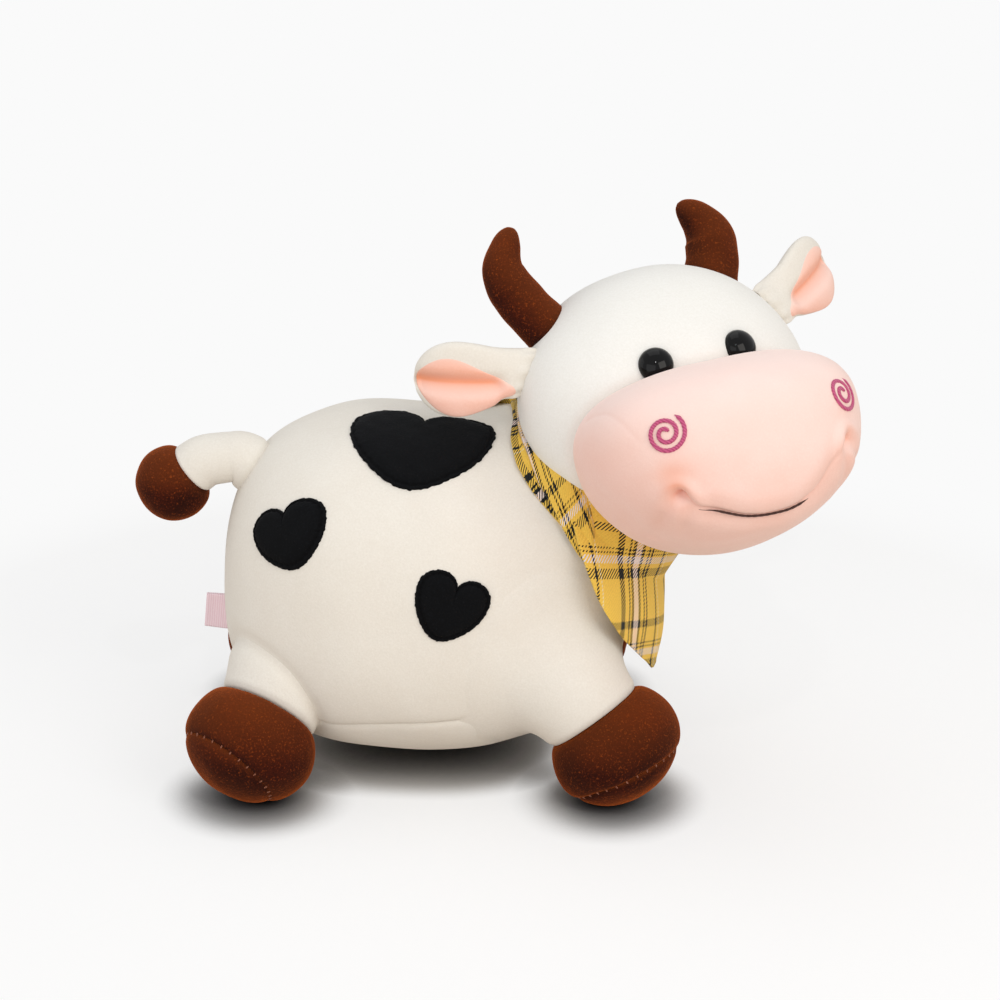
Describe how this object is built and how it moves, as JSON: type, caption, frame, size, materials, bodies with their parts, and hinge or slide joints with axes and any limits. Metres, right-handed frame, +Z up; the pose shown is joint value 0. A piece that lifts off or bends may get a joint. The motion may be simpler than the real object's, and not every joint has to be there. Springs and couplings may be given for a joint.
{
  "type": "plush cow",
  "caption": "Stuffed toy cow standing on short splayed legs, head turned to its right, with plush horns and ears, heart patches and a cloth neckerchief.",
  "frame": {"origin": "middle of the toy's outline seen from above, on the surface that it stands on", "axes": "+X towards the front of the body, -Y towards the toy's right side, where its face is turned, +Z up"},
  "size_m": [0.3086, 0.1928, 0.2424],
  "materials": {
    "cream_plush": "very short cream pile, soft and matt",
    "pink_plush": "very short pale pink pile, soft and matt",
    "peach_plush": "short peach pile",
    "brown_plush": "dense brown pile with a velvety sheen at its edges",
    "black_plush": "short black pile with a stitched edge",
    "plaid_cloth": "thin woven cotton, yellow plaid with black, pale pink and grey green lines",
    "pink_ribbon": "bare woven ribbon",
    "eye_gloss": "polished black plastic",
    "washer_plastic": "moulded off-white plastic"
  },
  "bodies": {
    "toy": {"body": "cream_plush", "belly_panel": "cream_plush", "rear_right_leg": "cream_plush", "rear_left_leg": "cream_plush", "front_right_leg": "cream_plush", "front_left_leg": "cream_plush", "rear_right_foot": "brown_plush", "rear_left_foot": "brown_plush", "front_right_foot": "brown_plush", "front_left_foot": "brown_plush", "rear_right_sole": "brown_plush", "rear_left_sole": "brown_plush", "front_right_sole": "brown_plush", "front_left_sole": "brown_plush", "head": "cream_plush", "muzzle": "pink_plush", "right_horn": "brown_plush", "left_horn": "brown_plush", "right_eye": "eye_gloss", "left_eye": "eye_gloss", "right_eye_washer": "washer_plastic", "left_eye_washer": "washer_plastic", "heart_back": "black_plush", "heart_right_flank": "black_plush", "heart_right_hip": "black_plush", "heart_left_flank": "black_plush", "heart_left_hip": "black_plush", "neckerchief": "plaid_cloth", "ribbon_tab": "pink_ribbon"},
    "right_ear": {"right_ear": "cream_plush", "right_ear_lining": "peach_plush"},
    "left_ear": {"left_ear": "cream_plush", "left_ear_lining": "peach_plush"},
    "tail": {"tail": "cream_plush", "tail_tip": "brown_plush"}
  },
  "joints": [
    {"name": "right_ear_flop", "type": "hinge", "parent": "toy", "child": "right_ear", "pos_m": [0.01167, -0.01111, 0.18329], "axis": [-0.2953, -0.0926, -0.9509], "range_deg": [-25, 25], "stiffness_Nm_per_rad": 0.02},
    {"name": "left_ear_flop", "type": "hinge", "parent": "toy", "child": "left_ear", "pos_m": [0.1257, 0.03109, 0.20263], "axis": [-0.6608, -0.0565, 0.7484], "range_deg": [-25, 25], "stiffness_Nm_per_rad": 0.02},
    {"name": "tail_swing", "type": "hinge", "parent": "toy", "child": "tail", "pos_m": [-0.11164, 0.01112, 0.13768], "axis": [0, 0, 1], "range_deg": [-25, 25], "stiffness_Nm_per_rad": 0.03}
  ]
}
